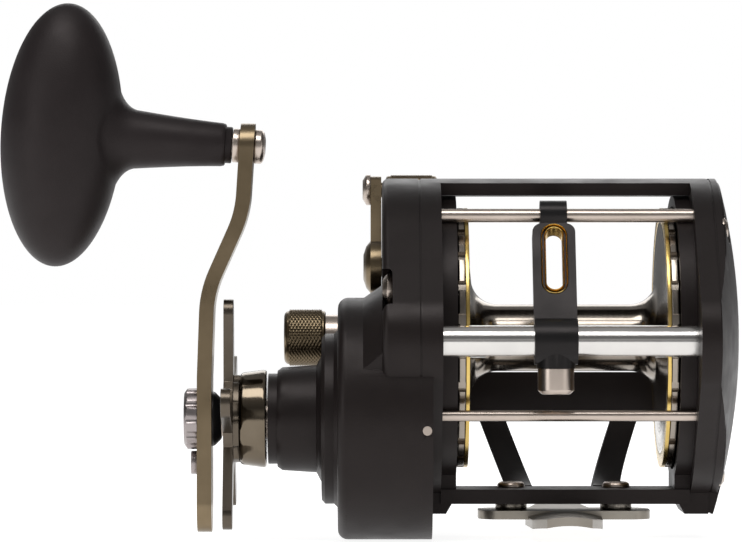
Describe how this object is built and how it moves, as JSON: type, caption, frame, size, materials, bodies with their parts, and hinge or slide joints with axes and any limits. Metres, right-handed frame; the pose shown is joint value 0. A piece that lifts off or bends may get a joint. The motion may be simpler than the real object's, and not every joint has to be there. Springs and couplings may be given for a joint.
{
  "type": "trolling reel",
  "caption": "Conventional level-wind trolling reel: one-piece frame, crank with oval knob, star drag, free-spool lever, sliding line guide and a foot for a rod's reel seat.",
  "frame": {"origin": "centre of the reel foot's underside", "axes": "+X along the spool towards the tail plate, +Z away from the rod, -Y towards the line's exit"},
  "size_m": [0.1531, 0.0764, 0.1103],
  "materials": {
    "black_body": "black moulded graphite composite, satin",
    "gunmetal": "gunmetal anodised aluminium, polished",
    "stainless": "stainless steel, fine brushed",
    "bright_tube": "bright polished aluminium",
    "gold": "gold anodised and titanium-nitride gold",
    "spool_metal": "dark bronze anodised aluminium, polished",
    "grip_rubber": "soft-touch black, fine matt grain",
    "guide_black": "black satin",
    "gear_brass": "machined brass",
    "gear_steel": "machined steel",
    "friction": "woven carbon friction washer",
    "bearing_steel": "polished bearing steel",
    "acetal": "natural acetal"
  },
  "bodies": {
    "reel_body": {"frame": "black_body", "upper_guide_rod": "stainless", "lower_cross_rod": "stainless", "reel_foot": "stainless", "foot_spacers": "stainless", "foot_screws": "stainless", "handle_side_plate": "black_body", "handle_side_screws": "stainless", "bridge_screws": "stainless", "bridge_plate": "black_body", "yoke_posts": "stainless", "yoke_springs": "stainless", "one_way_bearing_race": "bearing_steel", "one_way_bearing_rollers": "bearing_steel", "handle_shaft_bearing": "bearing_steel", "handle_shaft_bushing": "acetal", "spool_tension_nipple": "stainless", "spool_bearing_handle_side": "bearing_steel", "tail_plate": "black_body", "tail_plate_screws": "stainless", "spool_bearing_tail_side": "bearing_steel", "spool_end_discs": "acetal", "click_spring": "stainless", "level_wind_tube": "bright_tube", "worm_bushings": "acetal"},
    "handle": {"handle_shaft": "stainless", "main_gear": "gear_brass", "level_wind_drive_gear": "acetal", "drag_friction_washers": "friction", "drag_steel_washers": "stainless", "drag_pressure_plate": "stainless", "drag_spring_washers": "stainless", "clutch_inner_sleeve": "bearing_steel", "star_spacer_washer": "guide_black", "handle_arm": "gunmetal", "knob_spindle": "stainless", "knob_washer": "stainless", "handle_nut": "gear_steel", "nut_lock_screw": "stainless"},
    "star": {"drag_star": "gunmetal", "drag_nut": "gunmetal"},
    "knob": {"handle_knob": "grip_rubber"},
    "tension_knob": {"spool_tension_knob": "gunmetal"},
    "lever": {"clutch_lever": "gunmetal", "lever_thumb_piece": "gunmetal", "lever_thumb_screw": "stainless"},
    "yoke": {"clutch_yoke": "gear_steel"},
    "pinion": {"pinion_gear": "gear_brass"},
    "spool": {"spool": "spool_metal", "spool_accent_rings": "gold", "spool_shaft": "gear_steel", "spool_drive_pin": "gear_steel", "click_ratchet": "gear_steel"},
    "worm": {"worm_shaft": "gear_steel", "worm_gear": "acetal"},
    "line_guide": {"line_guide_carriage": "guide_black", "line_guide_eyelet": "gold", "level_wind_pawl": "gear_steel", "pawl_cap": "stainless"},
    "click": {"click_slider": "black_body"}
  },
  "joints": [
    {"name": "handle_crank", "type": "hinge", "parent": "reel_body", "child": "handle", "pos_m": [0, -0.01771, 0.0214], "axis": [1, 0, 0], "continuous": true},
    {"name": "star_wheel", "type": "hinge", "parent": "handle", "child": "star", "pos_m": [0, -0.01771, 0.0214], "axis": [1, 0, 0], "range_deg": [-180, 180]},
    {"name": "knob_spin", "type": "hinge", "parent": "handle", "child": "knob", "pos_m": [-0.0659, -0.01771, 0.0775], "axis": [0.9981, 0, -0.061], "continuous": true},
    {"name": "spool_spin", "type": "hinge", "parent": "reel_body", "child": "spool", "pos_m": [0, 0, 0.0378], "axis": [1, 0, 0], "continuous": true},
    {"name": "pinion_spin", "type": "hinge", "parent": "yoke", "child": "pinion", "pos_m": [0, 0, 0.0378], "axis": [1, 0, 0], "continuous": true},
    {"name": "worm_spin", "type": "hinge", "parent": "reel_body", "child": "worm", "pos_m": [0, -0.0312, 0.0375], "axis": [1, 0, 0], "continuous": true},
    {"name": "clutch_lever", "type": "hinge", "parent": "reel_body", "child": "lever", "pos_m": [0, 0.006, 0.0526], "axis": [1, 0, 0], "range_deg": [0, 25]},
    {"name": "yoke_slide", "type": "slide", "parent": "reel_body", "child": "yoke", "axis": [-1, 0, 0], "range_m": [0, 0.00181]},
    {"name": "line_guide_slide", "type": "slide", "parent": "reel_body", "child": "line_guide", "axis": [1, 0, 0], "range_m": [-0.0116, 0.0174]},
    {"name": "spool_tension", "type": "hinge", "parent": "reel_body", "child": "tension_knob", "pos_m": [0, 0, 0.0378], "axis": [1, 0, 0], "range_deg": [-180, 180]},
    {"name": "click_slide", "type": "slide", "parent": "reel_body", "child": "click", "axis": [0, 0, 1], "range_m": [0, 0.004]}
  ],
  "couplings": [
    {"joint": "spool_spin", "follows": "handle_crank", "ratio": -4.9167},
    {"joint": "pinion_spin", "follows": "handle_crank", "ratio": -4.9167},
    {"joint": "worm_spin", "follows": "handle_crank", "ratio": -2.8889},
    {"joint": "yoke_slide", "follows": "clutch_lever", "m_per_rad": 0.0041253}
  ]
}
